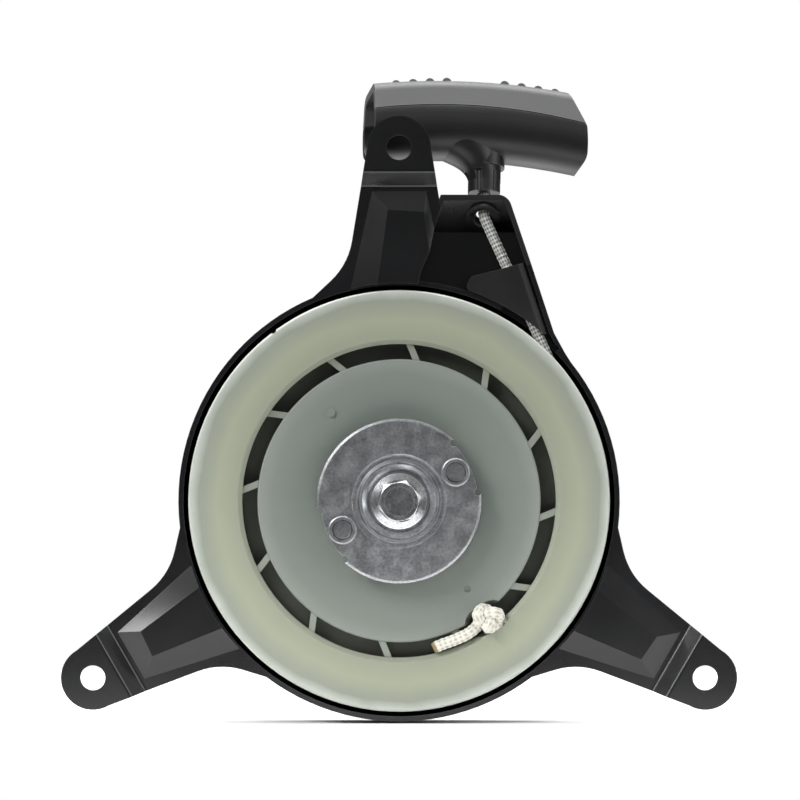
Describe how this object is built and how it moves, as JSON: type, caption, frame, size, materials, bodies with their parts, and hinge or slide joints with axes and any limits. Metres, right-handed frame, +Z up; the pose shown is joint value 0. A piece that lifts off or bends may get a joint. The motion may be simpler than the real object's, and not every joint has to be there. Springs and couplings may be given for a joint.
{
  "type": "recoil starter",
  "caption": "Pull-rope starter: stamped case with mounting legs, spring-returned rope reel with pawls, and a T handle on its rope.",
  "frame": {"origin": "centre of the mounting holes' circle, in the plane of the tabs' engine-side faces, on the reel's axis", "axes": "+Z up towards the handle leg, -Y towards the engine along the reel's axis, +X to the right as seen from the engine"},
  "size_m": [0.2114, 0.0468, 0.2025],
  "materials": {
    "case_paint": "semi-gloss black paint",
    "guide_paint": "satin dark grey paint",
    "nylon": "translucent natural nylon",
    "zinc": "zinc plate",
    "steel": "bare machined steel",
    "spring_steel": "blue-grey spring steel",
    "bronze": "oiled bronze",
    "rope": "braided nylon rope",
    "grip_black": "moulded black plastic",
    "grip_grey": "moulded dark grey plastic"
  },
  "bodies": {
    "housing": {"housing": "case_paint", "rope_guide_plate": "guide_paint", "rope_eyelet": "case_paint", "centre_post": "steel", "post_backing_plate": "zinc", "centre_bolt": "zinc", "thrust_washer_front": "steel", "thrust_washer_rear": "bronze", "rope_run": "rope"},
    "reel": {"reel": "nylon", "reel_bush": "bronze", "return_spring": "spring_steel", "spring_cup": "zinc", "retainer_plate": "zinc", "pawl_pins": "steel", "pawl_springs": "spring_steel", "friction_spring": "spring_steel", "rope_wound": "rope", "reel_knot": "rope"},
    "pawl_a": {"pawl_a": "steel"},
    "pawl_b": {"pawl_b": "steel"},
    "rope_end": {"rope_pull": "rope"},
    "handle": {"grip_body": "grip_black", "grip_cap": "grip_grey", "handle_washer": "steel", "handle_knot": "rope"}
  },
  "joints": [
    {"name": "reel_spin", "type": "hinge", "parent": "housing", "child": "reel", "pos_m": [0, 0, 0], "axis": [0, -1, 0], "range_deg": [0, 720], "stiffness_Nm_per_rad": 0.02, "springref_deg": -171.89, "deforming": ["rope_wound", "return_spring"]},
    {"name": "handle_pull", "type": "slide", "parent": "housing", "child": "rope_end", "axis": [0.0169, 0.2588, 0.9658], "range_m": [0, 0.73], "deforming": ["rope_pull"]},
    {"name": "handle_swivel", "type": "hinge", "parent": "rope_end", "child": "handle", "pos_m": [0.0268, 0.0165, 0.0966], "axis": [-0.0169, -0.2588, -0.9658], "range_deg": [0, 115]},
    {"name": "pawl_a_swing", "type": "hinge", "parent": "reel", "child": "pawl_a", "pos_m": [0.01769, 0.003, 0.00901], "axis": [0, 1, 0], "range_deg": [0, 36], "stiffness_Nm_per_rad": 0.001, "springref_deg": -17.19},
    {"name": "pawl_b_swing", "type": "hinge", "parent": "reel", "child": "pawl_b", "pos_m": [-0.01769, 0.003, -0.00901], "axis": [0, 1, 0], "range_deg": [0, 36], "stiffness_Nm_per_rad": 0.001, "springref_deg": -17.19}
  ],
  "couplings": [
    {"joint": "handle_pull", "follows": "reel_spin", "m_per_rad": 0.0575},
    {"joint": "pawl_b_swing", "follows": "pawl_a_swing", "ratio": 1}
  ]
}
